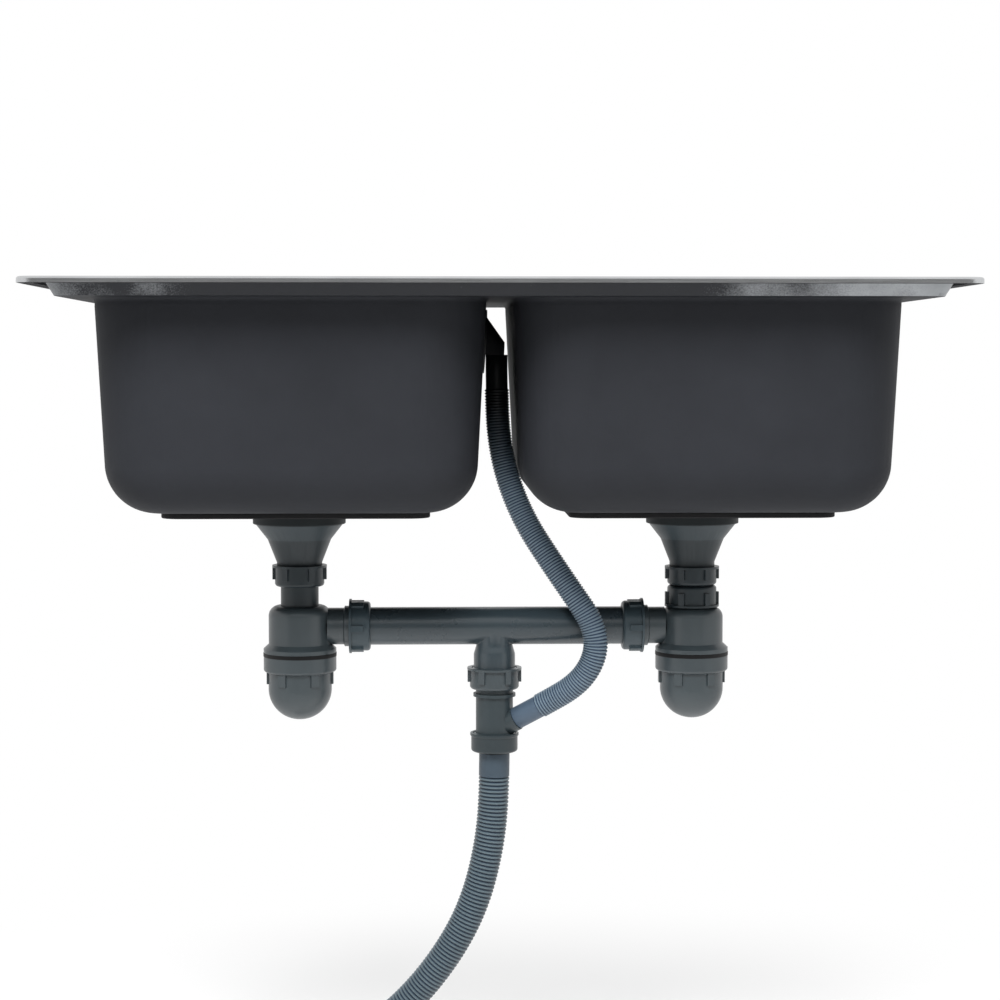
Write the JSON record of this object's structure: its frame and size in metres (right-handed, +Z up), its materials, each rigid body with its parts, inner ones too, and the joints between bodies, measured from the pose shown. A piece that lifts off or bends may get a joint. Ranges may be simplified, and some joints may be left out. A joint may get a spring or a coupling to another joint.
{
  "type": "double bowl kitchen sink",
  "caption": "Inset stainless double bowl kitchen sink with basket strainer wastes, bottle traps, cross pipe, overflow hose and ribbed drain hose.",
  "frame": {"origin": "centre of the plane where the rim rests on the worktop", "axes": "+X along the sink to the user's right, +Y to the back, +Z up out of the bowls"},
  "size_m": [0.92, 0.5, 0.8701],
  "materials": {
    "stainless": "satin brushed stainless sheet",
    "undercoated_steel": "dark undercoat outside, brushed inside",
    "polished_steel": "polished stainless",
    "chrome": "bright",
    "foam": "closed-cell foam strip",
    "sound_pad": "matte black damping pad",
    "black_rubber": "matte",
    "black_plastic": "matte",
    "grey_plastic": "satin moulded plastic",
    "hose_plastic": "satin corrugated plastic"
  },
  "bodies": {
    "sink": {"cross_pipe": "grey_plastic", "drain_hose": "hose_plastic", "drain_hose_end": "grey_plastic", "hose_nut": "grey_plastic", "hose_seal": "black_rubber", "hose_tee": "grey_plastic", "left_bowl": "undercoated_steel", "left_flange_seal": "black_rubber", "left_outlet_nut": "grey_plastic", "left_outlet_seal": "black_rubber", "left_sound_pad": "sound_pad", "left_strainer_cup": "polished_steel", "left_strainer_screw": "polished_steel", "left_trap_body": "grey_plastic", "left_waste_body": "grey_plastic", "left_waste_gasket": "black_rubber", "left_waste_nut": "grey_plastic", "left_waste_seal": "black_rubber", "overflow_elbow": "black_plastic", "overflow_faceplate": "polished_steel", "overflow_gasket": "black_rubber", "overflow_hose": "hose_plastic", "overflow_screw": "polished_steel", "right_bowl": "undercoated_steel", "right_flange_seal": "black_rubber", "right_inlet_tube": "grey_plastic", "right_outlet_nut": "grey_plastic", "right_outlet_seal": "black_rubber", "right_sound_pad": "sound_pad", "right_strainer_cup": "polished_steel", "right_strainer_screw": "polished_steel", "right_trap_body": "grey_plastic", "right_trap_neck_nut": "grey_plastic", "right_trap_neck_seal": "black_rubber", "right_waste_body": "grey_plastic", "right_waste_gasket": "black_rubber", "right_waste_nut": "grey_plastic", "right_waste_seal": "black_rubber", "rim_gasket": "foam", "sink_deck": "stainless", "tee_nut": "grey_plastic", "tee_seal": "black_rubber"},
    "left_basket_body": {"left_basket": "polished_steel", "left_basket_stopper": "black_rubber", "left_basket_knob": "chrome"},
    "left_cup_seal_body": {"left_cup_seal": "black_rubber"},
    "left_trap_cup_body": {"left_trap_cup": "grey_plastic"},
    "right_basket_body": {"right_basket": "polished_steel", "right_basket_stopper": "black_rubber", "right_basket_knob": "chrome"},
    "right_cup_seal_body": {"right_cup_seal": "black_rubber"},
    "right_trap_cup_body": {"right_trap_cup": "grey_plastic"}
  },
  "joints": [
    {"name": "left_basket_lift", "type": "slide", "parent": "sink", "child": "left_basket_body", "axis": [0, 0, 1], "range_m": [0, 0.25]},
    {"name": "left_cup_travel", "type": "slide", "parent": "sink", "child": "left_cup_seal_body", "axis": [0, 0, -1], "range_m": [0, 0.016]},
    {"name": "left_cup_unscrew", "type": "hinge", "parent": "left_cup_seal_body", "child": "left_trap_cup_body", "pos_m": [-0.2085, 0, -0.39], "axis": [0, 0, -1], "range_deg": [0, 1440]},
    {"name": "right_basket_lift", "type": "slide", "parent": "sink", "child": "right_basket_body", "axis": [0, 0, 1], "range_m": [0, 0.25]},
    {"name": "right_cup_travel", "type": "slide", "parent": "sink", "child": "right_cup_seal_body", "axis": [0, 0, -1], "range_m": [0, 0.016]},
    {"name": "right_cup_unscrew", "type": "hinge", "parent": "right_cup_seal_body", "child": "right_trap_cup_body", "pos_m": [0.2085, 0, -0.39], "axis": [0, 0, -1], "range_deg": [0, 1440]}
  ],
  "couplings": [
    {"joint": "left_cup_travel", "follows": "left_cup_unscrew", "m_per_rad": 0.000636},
    {"joint": "right_cup_travel", "follows": "right_cup_unscrew", "m_per_rad": 0.000636}
  ]
}
